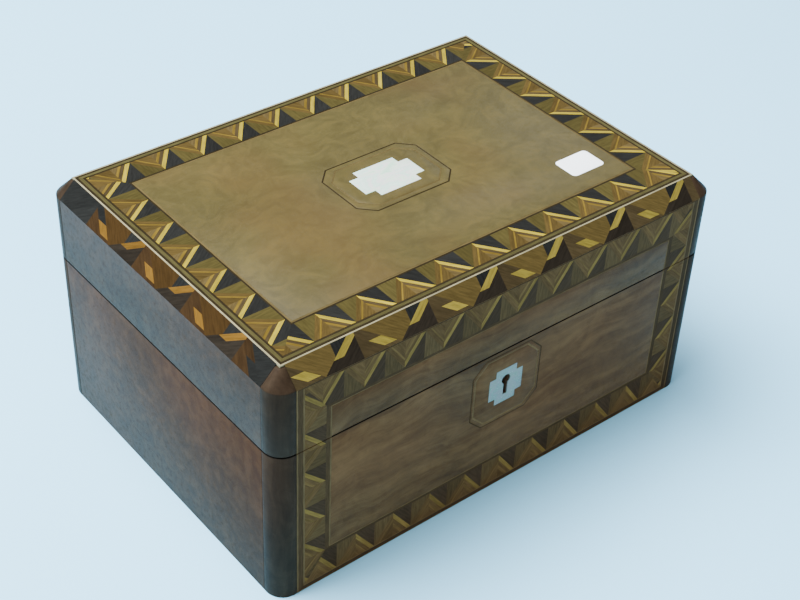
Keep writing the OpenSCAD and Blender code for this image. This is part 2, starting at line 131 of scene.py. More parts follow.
class Wire:
    # an output socket; sums on it add Math nodes to its tree
    def __init__(self, tree, socket=None):
        self.tree = tree
        self.socket = socket

    def node(self, kind, settings, inputs, out=0):
        made = self.tree.nodes.new("ShaderNode" + kind)
        for name, value in settings.items():
            if name == "stops":
                setStops(made.color_ramp, value)
            else:
                setattr(made, name, value)
        for name, value in inputs.items():
            if isinstance(value, Wire):
                self.tree.links.new(value.socket, made.inputs[name])
            else:
                made.inputs[name].default_value = value
        return Wire(self.tree, made.outputs[out])

    def maths(self, operation, *values):
        return self.node("Math", {"operation": operation}, dict(enumerate(values)))

    def __add__(self, other):
        return self.maths("ADD", self, other)

    def __radd__(self, other):
        return self.maths("ADD", other, self)

    def __sub__(self, other):
        return self.maths("SUBTRACT", self, other)

    def __rsub__(self, other):
        return self.maths("SUBTRACT", other, self)

    def __mul__(self, other):
        return self.maths("MULTIPLY", self, other)

    def __rmul__(self, other):
        return self.maths("MULTIPLY", other, self)

    def between(self, low, high):  # 0 below low, 1 above high, smooth between
        return self.node("MapRange", {"interpolation_type": "SMOOTHSTEP"},
                         {"Value": self, "From Min": low, "From Max": high})

    def ramp(self, *stops):
        return self.node("ValToRGB", {"stops": stops}, {"Fac": self})

    def mix(self, factor, first, second, blend="MIX"):
        colours = [c if isinstance(c, Wire) else (*c, 1) for c in (first, second)]
        return self.node("Mix", {"data_type": "RGBA", "blend_type": blend},
                         {0: factor, 6: colours[0], 7: colours[1]}, 2)

    def shaded(self, colour, shade):  # a colour multiplied by a grey
        grey = self.node("CombineColor", {}, {0: shade, 1: shade, 2: shade})
        return self.mix(1.0, colour, grey, "MULTIPLY")

    def vector(self, operation, first, second):
        return self.node("VectorMath", {"operation": operation}, {0: first, 1: second})

    def place(self, stretch):  # the piece's own place in millimetres, stretched
        own = self.node("TexCoord", {}, {}, "Object")
        return self.node("Mapping", {}, {"Vector": own, "Scale": [s / mm for s in stretch]})

    def attribute(self, name, out="Vector"):
        return self.node("Attribute", {"attribute_name": name}, {}, out)

    def noise(self, place, scale, detail=3, roughness=0.5, distortion=0.0, out=0):
        return self.node("TexNoise", {}, {"Vector": place, "Scale": scale, "Detail": detail,
                                          "Roughness": roughness, "Distortion": distortion}, out)

    def bump(self, height, strength, distance):
        return self.node("Bump", {}, {"Height": height, "Strength": strength, "Distance": distance})


def setStops(ramp, stops):
    for element, (position, colour) in zip(ramp.elements, (stops[0], stops[-1])):
        element.position = position
        element.color = (*colour, 1)
    for position, colour in stops[1:-1]:
        ramp.elements.new(position).color = (*colour, 1)


def newMaterial(name):
    material = bpy.data.materials.new(name)
    material.use_nodes = True
    return material, Wire(material.node_tree)


def setShader(material, **sockets):
    shader = material.node_tree.nodes["Principled BSDF"]
    for name, value in sockets.items():
        socket = shader.inputs[name.replace("_", " ")]
        if isinstance(value, Wire):
            material.node_tree.links.new(value.socket, socket)
        else:
            socket.default_value = value
    return material


# woods, each cut with its grain along one axis

boards = {
    "walnut": {"dark": (0.044, 0.020, 0.008), "middle": (0.082, 0.041, 0.016),
               "light": (0.125, 0.066, 0.026), "warp": 6, "burr": 0.3, "figure": 0.5,
               "gloss": 0.42, "shine": 0.03, "coat": 0.0},
    "sideWood": {"dark": (0.024, 0.011, 0.005), "middle": (0.041, 0.019, 0.008),
                 "light": (0.062, 0.030, 0.013), "warp": 4, "burr": 0.3, "figure": 0.4,
                 "gloss": 0.42, "shine": 0.03, "coat": 0.0},
    "figured": {"dark": (0.040, 0.031, 0.008), "middle": (0.052, 0.041, 0.012),
                "light": (0.068, 0.051, 0.014), "warp": 14, "burr": 0.75, "figure": 0.45,
                "gloss": 0.38, "shine": 0.14, "coat": 0.0},
    "ebonised": {"dark": (0.012, 0.008, 0.005), "middle": (0.023, 0.015, 0.009),
                 "light": (0.038, 0.025, 0.015), "warp": 3, "burr": 0.4, "figure": 0.3,
                 "gloss": 0.40, "shine": 0.02, "coat": 0.0},
    "carcase": {"dark": (0.034, 0.016, 0.007), "middle": (0.058, 0.030, 0.013),
                "light": (0.082, 0.046, 0.021), "warp": 5, "burr": 0.0, "figure": 0.5,
                "gloss": 0.5, "shine": 0.5, "coat": 0.0},
    "tray": {"dark": (0.040, 0.015, 0.006), "middle": (0.072, 0.030, 0.012),
             "light": (0.110, 0.050, 0.021), "warp": 5, "burr": 0.1, "figure": 0.5,
             "gloss": 0.34, "shine": 0.5, "coat": 0.2},
}
# painted shade along the lid's seam, darkening the wood where the gap between lid and base lies in shade;
# distances from it in millimetres
seamShade = {"woods": ("walnut", "sideWood", "ebonised"), "full": 0.25, "none": 0.6, "strength": 0.9,
         "colour": (0.006, 0.005, 0.004)}
grainStretch = {"x": (0.05, 1, 1), "y": (1, 0.05, 1), "z": (1, 1, 0.05)}


def makeWood(kind, axis):
    wood = boards[kind]
    material, w = newMaterial(kind + axis.upper())
    plain = w.place((1, 1, 1))
    drift = w.noise(plain, 0.018, 2, out="Color")
    drift = w.vector("SUBTRACT", drift, (0.5, 0.5, 0.5))
    drift = w.vector("MULTIPLY", drift, (wood["warp"] * 4,) * 3)
    grain = w.node("Mapping", {}, {"Vector": w.vector("ADD", plain, drift), "Scale": grainStretch[axis]})
    rings = w.noise(grain, 0.16, 4, 0.6, 0.4)
    fibres = w.noise(grain, 1.6, 5, 0.65)
    pores = w.noise(grain, 6.5, 2, 0.6).between(0.60, 0.72)
    cloud = w.noise(plain, 0.022, 3, 0.55).between(0.3, 0.7)
    burr = w.noise(w.vector("ADD", plain, drift), 0.11, 5, 0.62, 0.8).between(0.3, 0.7)
    figure = rings.between(0.28, 0.72) * (1 - wood["burr"]) + burr * wood["burr"]
    tone = figure * 0.62 + fibres * 0.38
    colour = tone.ramp((0.12, wood["dark"]), (0.5, wood["middle"]), (0.88, wood["light"]))
    shade = cloud * wood["figure"] * 0.5 + (1 - wood["figure"] * 0.3)
    colour = w.shaded(colour, shade)
    glow = w.noise(plain, 0.012, 2, 0.5).between(0.42, 0.62)
    red, green, blue = wood["light"]
    colour = w.mix(glow * wood["burr"] * 0.5, colour, (red, green * 0.72, blue * 0.72))
    colour = w.mix(pores * 0.6, colour, wood["dark"])
    # painted shade: darkens the wood within these distances of the lid's seam, where the gap lies in shade
    if kind in seamShade["woods"]:
        level = w.node("SeparateXYZ", {}, {"Vector": plain}, 2)
        away = w.maths("ABSOLUTE", level - seamZ / mm).between(seamShade["full"], seamShade["none"])
        colour = w.mix((1 - away) * seamShade["strength"], colour, seamShade["colour"])
    scuffs = w.noise(plain, 0.35, 6, 0.7).between(0.45, 0.75)
    height = fibres * 0.3 - pores * 0.5 + cloud * 0.8
    return setShader(material, Base_Color=colour, Roughness=scuffs * 0.14 + wood["gloss"] + pores * 0.12,
                     Coat_Weight=wood["coat"], Coat_Roughness=0.12, Specular_IOR_Level=wood["shine"],
                     Normal=w.bump(height, 0.35, 0.00012))


def makeInlayWood():  # tint and grain come with each small piece of wood
    material, w = newMaterial("inlayWood")
    tint = w.attribute("tint", "Color")
    grain = w.attribute("grain")
    long = w.vector("MULTIPLY", grain, (0.12, 1, 1))
    streaks = w.noise(long, 1.1, 4, 0.6)
    fibres = w.noise(long, 4.0, 3, 0.6)
    shade = streaks.between(0.2, 0.8) * 0.55 + fibres * 0.25 + 0.58
    colour = w.shaded(tint, shade)
    worn = w.noise(w.place((1, 1, 1)), 0.4, 5, 0.65)
    return setShader(material, Base_Color=colour, Roughness=worn * 0.2 + 0.40, Specular_IOR_Level=0.01,
                     Normal=w.bump(fibres * 0.6 + streaks, 0.3, 0.00008))


def makePearl(name, bright):
    material, w = newMaterial(name)
    flat = w.place((1, 1, 1))
    layers = w.noise(w.place((0.6, 1, 1)), 0.16, 3, 0.5, 1.2)
    colour = layers.ramp((0.30, (0.50, 0.80, 0.58)), (0.42, (0.72, 0.86, 0.70)),
                         (0.50, (0.80, 0.76, 0.74)), (0.58, (0.60, 0.84, 0.70)),
                         (0.72, (0.74, 0.88, 0.78)))
    veins = w.noise(w.place((0.4, 2.4, 2.4)), 0.4, 4, 0.6, 1.2)
    colour = w.mix(veins.between(0.5, 0.8) * 0.45, colour, (0.42, 0.60, 0.48))
    # mixes towards near black by 1 - bright; the escutcheon's darker copy is painted shade
    colour = w.mix(1 - bright, colour, (0.02, 0.03, 0.03))
    return setShader(material, Base_Color=colour, Roughness=w.noise(flat, 1.2) * 0.2 + 0.15,
                     Specular_IOR_Level=0.3, Normal=w.bump(layers + veins, 0.25, 0.0002))


def makeMetal(name, bright, dull, gloss):
    material, w = newMaterial(name)
    flat = w.place((1, 1, 1))
    tarnish = w.noise(flat, 0.25, 5, 0.6).between(0.35, 0.75)
    lines = w.noise(w.place((0.1, 3, 3)), 1.0, 3)
    return setShader(material, Base_Color=w.mix(tarnish, bright, dull), Metallic=1.0,
                     Roughness=tarnish * 0.22 + lines * 0.12 + gloss, Normal=w.bump(lines, 0.2, 0.00005))


def makePaper(name, colour, deep):
    material, w = newMaterial(name)
    pulp = w.noise(w.place((1, 1, 1)), 0.9, 6, 0.7)
    spots = w.noise(w.place((1, 1, 1)), 0.05, 4, 0.6).between(0.4, 0.75)
    tone = w.mix(pulp.between(0.3, 0.7) * 0.4 + spots * 0.4, colour, deep)
    return setShader(material, Base_Color=tone, Roughness=pulp * 0.15 + 0.72,
                     Normal=w.bump(pulp, 0.3, 0.0001))


def makeSilk():
    material, w = newMaterial("liningSilk")
    ribs = [w.node("TexWave", {"bands_direction": axis}, {"Vector": w.place((1, 1, 1)), "Scale": 0.55})
            for axis in ("X", "Y")]
    weave = ribs[0] * 0.5 + ribs[1] * 0.5
    slubs = w.noise(w.place((0.05, 1, 1)), 0.8, 3).between(0.55, 0.8)
    colour = w.mix(slubs * 0.4 + weave * 0.2, (0.075, 0.006, 0.011), (0.140, 0.018, 0.027))
    return setShader(material, Base_Color=colour, Roughness=weave * 0.15 + 0.38, Sheen_Weight=0.5,
                     Sheen_Roughness=0.35, Normal=w.bump(weave + slubs, 0.35, 0.00012))


floorBoard = {"size": 4, "squares": 8, "colours": ((0.28, 0.68, 0.96), (0.31, 0.71, 0.97))}


def makeFloor():
    material, w = newMaterial("paleFloor")
    cloud = w.noise(w.place((1, 1, 1)), 0.004, 3)
    colour = w.mix(cloud, *floorBoard["colours"])
    return setShader(material, Base_Color=colour, Roughness=cloud * 0.1 + 0.6)


inlayWood = makeInlayWood()
pearl = makePearl("motherOfPearl", 0.65)
# the escutcheon's pearl: the same pearl darkened as painted shade, for the front face that gets less light
shadedPearl = makePearl("shadedPearl", 0.20)
brass = makeMetal("agedBrass", (0.42, 0.27, 0.08), (0.17, 0.10, 0.03), 0.22)
steel = makeMetal("oiledSteel", (0.28, 0.28, 0.28), (0.09, 0.085, 0.08), 0.28)
liningPaper = makePaper("liningPaper", (0.10, 0.018, 0.022), (0.055, 0.010, 0.013))
labelPaper = makePaper("labelPaper", (0.90, 0.93, 0.95), (0.78, 0.83, 0.86))
silk = makeSilk()


def addFloor():
    bm = bmesh.new()
    squares = floorBoard["squares"]
    bmesh.ops.create_grid(bm, x_segments=squares, y_segments=squares, size=floorBoard["size"])
    floor = makeObject("floor", bm, makeFloor())


def makeObject(name, bm, material):
    mesh = bpy.data.meshes.new(name)
    bm.to_mesh(mesh)
    bm.free()
    mesh.materials.append(material)
    piece = bpy.data.objects.new(name, mesh)
    bpy.context.scene.collection.objects.link(piece)
    return piece


def settle(piece, node):  # the piece rides with the body of the node that it stands for, and that node is hidden
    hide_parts(node)
    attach(piece, bodyOf[node])
    return piece


addFloor()
print("floor laid")

# the CAD pieces that keep their shape, with their arrises eased

easing = {"sharp": 35, "steps": 2, "seam": 0.6, "nearSeam": 0.5, "weld": 0.002, "level": 0.5, "crease": 30}
finishes = {
    "base_bottom": ("carcase", "x", 0.3), "base_front": ("carcase", "x", 0.3),
    "base_back": ("carcase", "x", 0.3), "base_left": ("carcase", "y", 0.3),
    "base_right": ("carcase", "y", 0.3), "base_corner_posts": ("ebonised", "z", 0.35),
    "base_front_veneer": ("walnut", "x", 0.1), "base_side_veneers": ("sideWood", "x", 0.15),
    "left_tray_ledge": ("carcase", "y", 0.4), "right_tray_ledge": ("carcase", "y", 0.4),
    "lid_front": ("carcase", "x", 0.25), "lid_back": ("carcase", "x", 0.25),
    "lid_left": ("carcase", "y", 0.25), "lid_right": ("carcase", "y", 0.25),
    "lid_top": ("carcase", "x", 0.2), "lid_corner_posts": ("ebonised", "z", 0.3),
    "lid_front_veneer": ("walnut", "x", 0.1), "lid_side_veneers": ("sideWood", "x", 0.15),
    "lid_field_veneer": ("figured", "x", 0.08), "tray_floor": ("tray", "x", 0.3),
    "tray_front_wall": ("tray", "x", 0.6), "tray_back_wall": ("tray", "x", 0.6),
    "tray_left_wall": ("tray", "y", 0.6), "tray_right_wall": ("tray", "y", 0.6),
    "tray_dividers": ("tray", "y", 0.5),
}
plainFinishes = {
    "lid_cartouche": (pearl, 0.25), "escutcheon": (shadedPearl, 0.2),
    "base_wall_linings": (liningPaper, 0.3), "base_floor_lining": (liningPaper, 0.2),
    "lid_wall_linings": (liningPaper, 0.3), "lid_lining_card": (liningPaper, 0.2),
    "lot_label": (labelPaper, 0.05), "hinge_pins": (steel, 0.15),
    "lock_drill_pin": (steel, 0.2), "lock_spring": (steel, 0.05),
}
brassPieces = ["left_hinge_base_leaf", "right_hinge_base_leaf", "left_hinge_lid_leaf",
               "right_hinge_lid_leaf", "base_hinge_screws", "lid_hinge_screws", "lock_case",
               "lock_cap", "lock_screws", "lock_bolt", "link_plate", "link_plate_screws"]
brassEase = 0.12
seamed = {"lid_corner_posts", "lid_front_veneer", "lid_side_veneers"}


def sharpEdges(bm):
    return [e for e in bm.edges if e.is_manifold and e.calc_face_angle() > math.radians(easing["sharp"])]


def byTheSeam(edge):
    return all(abs(v.co.z - seamZ) < easing["nearSeam"] * mm for v in edge.verts)


def roundOff(bm, edges, width):
    bmesh.ops.bevel(bm, geom=edges, offset=width * mm, offset_type="OFFSET", affect="EDGES",
                    segments=easing["steps"], profile=0.5, material=-1, clamp_overlap=True)


def ease(node, material, width):
    bm = bmesh.new()
    bm.from_mesh(frame["nodes"][node].data)
    bmesh.ops.remove_doubles(bm, verts=bm.verts[:], dist=easing["weld"] * mm)
    bmesh.ops.dissolve_limit(bm, angle_limit=math.radians(easing["level"]), verts=bm.verts[:],
                             edges=bm.edges[:])
    if node in seamed:
        roundOff(bm, [e for e in sharpEdges(bm) if byTheSeam(e)], easing["seam"])
    roundOff(bm, sharpEdges(bm), width)
    bmesh.ops.triangulate(bm, faces=[f for f in bm.faces if len(f.verts) > 4])
    for face in bm.faces:
        face.smooth = True
    piece = makeObject(node + "_finished", bm, material)
    piece.data.set_sharp_from_angle(angle=math.radians(easing["crease"]))
    return settle(piece, node)


woods = {cut: makeWood(*cut) for cut in dict.fromkeys(entry[:2] for entry in finishes.values())}
for node, (kind, axis, width) in finishes.items():
    ease(node, woods[kind, axis], width)
for node, (material, width) in plainFinishes.items():
    ease(node, material, width)
for node in brassPieces:
    ease(node, brass, brassEase)
print("carcase and fittings finished")

# inlay: sheets of small wooden tiles, cut and glued edge to edge

tileWoods = {
    "rosewood": (0.045, 0.030, 0.009), "satinwood": (0.200, 0.150, 0.014),
    "brown": (0.034, 0.024, 0.011), "tulip": (0.092, 0.060, 0.010), "ebony": (0.010, 0.010, 0.009),
    "olive": (0.036, 0.029, 0.009), "boxwood": (0.180, 0.160, 0.095), "dark": (0.016, 0.012, 0.006),
    "greenOlive": (0.044, 0.038, 0.014), "amber": (0.054, 0.038, 0.014),
    "pale": (0.062, 0.046, 0.018), "padauk": (0.022, 0.012, 0.005), "rust": (0.030, 0.016, 0.005),
    "umber": (0.013, 0.010, 0.007), "honey": (0.094, 0.047, 0.008), "straw": (0.150, 0.112, 0.020),
    "gold": (0.056, 0.038, 0.012), "wornSatin": (0.150, 0.090, 0.024),
    "wornBrown": (0.082, 0.044, 0.017), "wornTulip": (0.104, 0.058, 0.020),
    "wornEbony": (0.042, 0.024, 0.013), "wornOlive": (0.070, 0.041, 0.017),
    "wornDark": (0.046, 0.026, 0.012), "wornPale": (0.110, 0.068, 0.030),
}
tile = {"deep": 0.9, "ease": 0.07, "spread": 0.16, "grainStep": 7.3}


def cutAlong(bm, faces, point, direction):  # a straight saw cut through these tiles only
    edges = dict.fromkeys(e for f in faces for e in f.edges)
    verts = dict.fromkeys(v for f in faces for v in f.verts)
    bmesh.ops.bisect_plane(bm, geom=[*faces, *edges, *verts], dist=1e-4, plane_co=(*point, 0),
                           plane_no=(-direction[1], direction[0], 0))


def islands(bm):  # the vertices of each separate tile
    bm.verts.index_update()
    seen = set()
    for vert in bm.verts:
        if vert.index in seen:
            continue
        seen.add(vert.index)
        found = [vert]
        for v in found:
            for edge in v.link_edges:
                other = edge.other_vert(v)
                if other.index not in seen:
                    seen.add(other.index)
                    found.append(other)
        yield found


def layTiles(name, node, bm, place, kindAt, deep=tile["deep"]):
    # bm is a flat sheet in millimetres, face up at zero; each face becomes a tile of its wood
    bmesh.ops.split_edges(bm, edges=[e for e in bm.edges if len(e.link_faces) > 1])
    bmesh.ops.translate(bm, verts=bm.verts[:], vec=(0, 0, -deep))
    raised = bmesh.ops.extrude_face_region(bm, geom=bm.faces[:], use_keep_orig=True)
    top = [v for v in raised["geom"] if isinstance(v, bmesh.types.BMVert)]
    bmesh.ops.translate(bm, verts=top, vec=(0, 0, deep))
    bmesh.ops.recalc_face_normals(bm, faces=bm.faces[:])
    rim = [e for e in bm.edges if all(v.co.z > -0.01 for v in e.verts)]
    bmesh.ops.bevel(bm, geom=rim, offset=tile["ease"], offset_type="OFFSET", affect="EDGES",
                    segments=1, profile=0.5, material=-1, clamp_overlap=True)
    tint = bm.verts.layers.float_color.new("tint")
    grain = bm.verts.layers.float_vector.new("grain")
    for number, verts in enumerate(islands(bm)):
        chance = random.Random(name + str(number))
        middle = sum((v.co for v in verts), Vector()) / len(verts)
        kind, angle = kindAt(middle.x, middle.y)
        shade = 1 + chance.uniform(-1, 1) * tile["spread"]
        turn = Matrix.Rotation(-math.radians(angle), 2)
        for v in verts:
            along = turn @ v.co.xy
            v[tint] = (*(c * shade for c in tileWoods[kind]), 1)
            v[grain] = (along.x, along.y, v.co.z + number * tile["grainStep"])
    bmesh.ops.transform(bm, matrix=place @ Matrix.Scale(mm, 4), verts=bm.verts[:])
    if place.to_3x3().determinant() < 0:
        bmesh.ops.reverse_faces(bm, faces=bm.faces[:])
    return settle(makeObject(name, bm, inlayWood), node)


def sheetOf(*outlines):
    bm = bmesh.new()
    for outline in outlines:
        bm.faces.new([bm.verts.new((x, y, 0)) for x, y in outline])
    bm.normal_update()
    return bm


def setIn(origin, along, inward, out):  # where a strip's length, width and face point in the frame
    turn = Matrix([Vector(v).normalized() for v in (along, inward, out)]).transposed().to_4x4()
    return Matrix.Translation(Vector(origin) * mm) @ turn


# a band of striped triangles, and the split pieces between them; a stripe lies on the right and left
# slope down to each depth, stops give the share of the width that the outermost one spans, and ends
# are the lengths stained dark
whole = {"right": (0, 1), "left": (0, 1)}
short = {"right": (0.12, 0.50), "left": (0.38, 1)}
bandStyles = {
    "chevron": {"pitch": 23.44, "flat": 0, "split": 0, "stops": whole, "ends": (0, 0),
                "right": ((2.1, "satinwood"), (4.1, "brown"), (5.5, "tulip"), (99, "amber")),
                "left": ((2.4, "rosewood"), (3.2, "tulip"), (99, "rosewood")),
                "between": ("ebony", "olive")},
    "wornChevron": {"pitch": 23.44, "flat": 0, "split": 0, "stops": whole, "ends": (0, 0),
                    "right": ((2.1, "wornSatin"), (4.1, "wornBrown"), (5.5, "wornTulip"),
                              (99, "wornBrown")),
                    "left": ((2.4, "wornBrown"), (3.2, "wornTulip"), (99, "wornBrown")),
                    "between": ("wornEbony", "wornOlive")},
    "wedge": {"pitch": 42.8, "flat": 3.8, "split": 8.4, "stops": short, "ends": (0, 0),
              "right": ((4.2, "straw"), (99, "brown")), "left": ((3.4, "straw"), (99, "umber")),
              "between": ("gold", "ebony")},
    "redWedge": {"pitch": 42.8, "flat": 3.8, "split": 8.4, "stops": short, "ends": (30, 13),
                 "right": ((4.2, "honey"), (99, "padauk")), "left": ((3.4, "honey"), (99, "umber")),
                 "between": ("rust", "ebony")},
}
hands = {"right": 1, "left": -1}


def layBand(name, node, place, outline, width, apex, style):
    style = bandStyles[style]
    bm = sheetOf(outline)
    pitch, flat, split = style["pitch"], style["flat"], style["split"]
    half = pitch / 2
    run = half - flat
    lean = math.hypot(run, width)
    reach = max(x for x, y in outline)
    units = [apex % pitch + n * pitch for n in range(-1, math.ceil(reach / pitch) + 1)]
    for u in units:
        cutAlong(bm, bm.faces[:], (u + flat, width), (run, -width))
        cutAlong(bm, bm.faces[:], (u - flat, width), (-run, -width))
        cutAlong(bm, bm.faces[:], (u, 0), (0, 1))

    def lies(x, y):  # distance from the middle of the nearest unit, and depth inside its slope
        off = (x - apex + half) % pitch - half
        return off, (flat + run * (1 - y / width) - abs(off)) * width / lean

    def picked(wanted):
        found = []
        for face in bm.faces:
            x, y, _ = face.calc_center_median()
            if wanted(x, *lies(x, y)):
                found.append(face)
        return found

    for u in units:  # the pieces between units are split upright
        between = picked(lambda x, off, inside: inside < 0 and 0 < x - u < pitch)
        cutAlong(bm, between, (u + half + split, 0), (0, 1))
    for side, hand in hands.items():
        for depth, _ in style[side][:-1]:
            for u in units:
                striped = picked(lambda x, off, inside: off * hand > 0 and inside > 0 and abs(x - u) < half)
                start = (u + hand * (flat - width * depth / lean), width - run * depth / lean)
                cutAlong(bm, striped, start, (hand * run, -width))
    for side, hand in hands.items():  # the outermost stripe may stop short
        outermost = style[side][0][0]
        for stop in style["stops"][side]:
            if 0 < stop < 1:
                striped = picked(lambda x, off, inside: off * hand > 0 and 0 < inside < outermost)
                cutAlong(bm, striped, (0, stop * width), (1, 0))
    slope = math.degrees(math.atan2(width, run))

    def kindAt(x, y):
        off, inside = lies(x, y)
        first, last = style["ends"]
        if x < first or x > reach - last:
            return "ebony", slope
        if inside < 0:
            near, far = style["between"]
            return (near, -slope) if off % pitch < half + split else (far, 90)
        side = "right" if off > 0 else "left"
        stripes = style[side]
        starts, ends = style["stops"][side]
        if not starts < y / width < ends:
            stripes = stripes[1:]
        kind = next(kind for depth, kind in stripes if inside < depth)
        return kind, -slope if off > 0 else slope

    return layTiles(name, node, bm, place, kindAt)


def trapezium(length, width, cutStart, cutEnd):  # mitred by these amounts at its ends
    return (0, 0), (length, 0), (length - cutEnd, width), (cutStart, width)


halfL, halfD, topZ = cadHigh.x / mm, -cadLow.y / mm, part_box("lid_edging")[1].z / mm
# the lid's top: distances in from its sides, and the width of its corner posts
lid = {"bevel": 9, "edging": 10, "outerDark": 11.3, "green": 13.1, "bandOut": 14.2, "bandIn": 29.8,
       "innerDark": 30.8, "field": 31.8, "ebonised": 11.5}
topPhase = {"front": 5.4, "back": 13.6, "left": 10.6, "right": 18.6}
bevelPhase = {"front": 37.5, "back": 18.4, "left": 26.1, "right": 4}


def layTopBands():
    width = lid["bandIn"] - lid["bandOut"]
    x, y = halfL - lid["bandOut"], halfD - lid["bandOut"]
    sides = {
        "front": ((-x, -y, topZ), (1, 0, 0), (0, 1, 0), 2 * x),
        "back": ((-x, y, topZ), (1, 0, 0), (0, -1, 0), 2 * x),
        "left": ((-x, y, topZ), (0, -1, 0), (1, 0, 0), 2 * y),
        "right": ((x, y, topZ), (0, -1, 0), (-1, 0, 0), 2 * y),
    }
    for side, (corner, along, inward, length) in sides.items():
        layBand("top_band_" + side, "lid_top_banding", setIn(corner, along, inward, (0, 0, 1)),
                trapezium(length, width, width, width), width, topPhase[side], "chevron")


def layBevelBands():
    fall = lid["bevel"]
    width = fall * math.sqrt(2)
    x, y, z = halfL - lid["ebonised"], halfD - lid["ebonised"], topZ - fall
    sides = {
        "front": ((-x, -halfD, z), (1, 0, 0), (0, 1, 1), (0, -1, 1), 2 * x, "wedge"),
        "back": ((-x, halfD, z), (1, 0, 0), (0, -1, 1), (0, 1, 1), 2 * x, "wedge"),
        "left": ((-halfL, y, z), (0, -1, 0), (1, 0, 1), (-1, 0, 1), 2 * y, "redWedge"),
        "right": ((halfL, y, z), (0, -1, 0), (-1, 0, 1), (1, 0, 1), 2 * y, "redWedge"),
    }
    for side, (corner, along, inward, out, length, style) in sides.items():
        layBand("bevel_band_" + side, "lid_bevel_banding", setIn(corner, along, inward, out),
                trapezium(length, width, 0, 0), width, bevelPhase[side], style)


# the front's lines and bands: half widths, and heights above the underside
front = {"lines": 128.5, "bandOut": 124, "bandIn": 112, "panel": 108.8, "foot": 0.3, "lowBand": 3.6,
         "lowBandTop": 19.6, "basePanel": 21.6, "seamLow": 92.8, "seamHigh": 93.2, "lidPanel": 111.8,
         "highBand": 113.8, "highBandTop": 129.8, "bevel": 131}
frontPhase = {"low": 7.5, "high": 9.9, "baseSide": 16.7, "lidSide": -2.1}


def layFrontBands():
    out, inner = front["bandOut"], front["bandIn"]
    side = out - inner
    level = front["lowBandTop"] - front["lowBand"]
    flat = trapezium(2 * out, level, side, side)
    facing = (0, -1, 0)
    foot = setIn((-out, -halfD, front["lowBand"]), (1, 0, 0), (0, 0, 1), facing)
    head = setIn((-out, -halfD, front["highBandTop"]), (1, 0, 0), (0, 0, -1), facing)
    layBand("base_band_foot", "base_front_banding", foot, flat, level, frontPhase["low"], "wornChevron")
    layBand("lid_band_head", "lid_front_banding", head, flat, level, frontPhase["high"], "wornChevron")
    low = front["seamLow"] - front["lowBand"]
    high = front["highBandTop"] - front["seamHigh"]
    baseShape, lidShape = trapezium(low, side, level, 0), trapezium(high, side, 0, level)
    for hand, where in ((-1, "left"), (1, "right")):
        upright = ((0, 0, 1), (-hand, 0, 0), facing)
        basePlace = setIn((hand * out, -halfD, front["lowBand"]), *upright)
        layBand("base_band_" + where, "base_front_banding", basePlace, baseShape, side,
                frontPhase["baseSide"], "wornChevron")
        lidPlace = setIn((hand * out, -halfD, front["seamHigh"]), *upright)
        layBand("lid_band_" + where, "lid_front_banding", lidPlace, lidShape, side,
                frontPhase["lidSide"], "wornChevron")


def ringSheet(halfX, halfY, width, corner=0):
    bm = sheetOf([(-halfX, -halfY), (halfX, -halfY), (halfX, halfY), (-halfX, halfY)])
    if corner:
        bmesh.ops.bevel(bm, geom=bm.verts[:], offset=corner, offset_type="OFFSET", affect="VERTICES",
                        segments=1, profile=0.5, material=-1)
    middle = bm.faces[:]
    bmesh.ops.inset_region(bm, faces=middle, thickness=width, use_even_offset=True,
                           use_boundary=True)
    bmesh.ops.delete(bm, geom=middle, context="FACES")
    return bm


topLines = {
    "edging": ("bevel", "edging", "boxwood", "lid_edging"),
    "outer_dark": ("edging", "outerDark", "dark", "lid_top_stringing"),
    "green": ("outerDark", "green", "greenOlive", "lid_top_stringing"),
    "middle_dark": ("green", "bandOut", "dark", "lid_top_stringing"),
    "inner_dark": ("bandIn", "innerDark", "dark", "lid_top_stringing"),
    "inner_pale": ("innerDark", "field", "pale", "lid_top_stringing"),
}
octagons = {
    "cartouche_dark": (62, 45, "dark", "lid_top_stringing"),
    "cartouche_pale": (55, 38, "pale", "lid_top_stringing"),
    "lock_dark": (46, 44, "wornDark", "base_front_stringing"),
    "lock_pale": (42.5, 40.5, "wornPale", "base_front_stringing"),
}
string = {"wide": 0.8, "deep": 0.6, "corner": 8, "lockHeight": 69}


def layLines():
    top = setIn((0, 0, topZ), (1, 0, 0), (0, 1, 0), (0, 0, 1))
    lock = setIn((0, -halfD, string["lockHeight"]), (1, 0, 0), (0, 0, 1), (0, -1, 0))
    for name, (outside, inside, kind, node) in topLines.items():
        outer, inner = lid[outside], lid[inside]
        sheet = ringSheet(halfL - outer, halfD - outer, inner - outer)
        layTiles("top_line_" + name, node, sheet, top,
                 lambda x, y: (kind, 0 if abs(y) > abs(x) * halfD / halfL else 90))
    for name, (length, height, kind, node) in octagons.items():
        sheet = ringSheet(length / 2, height / 2, string["wide"], string["corner"])
        layTiles(name + "_line", node, sheet, lock if node.startswith("base") else top,
                 lambda x, y: (kind, 0), string["deep"])


def blend(a, b, share):
    return a + (b - a) * share


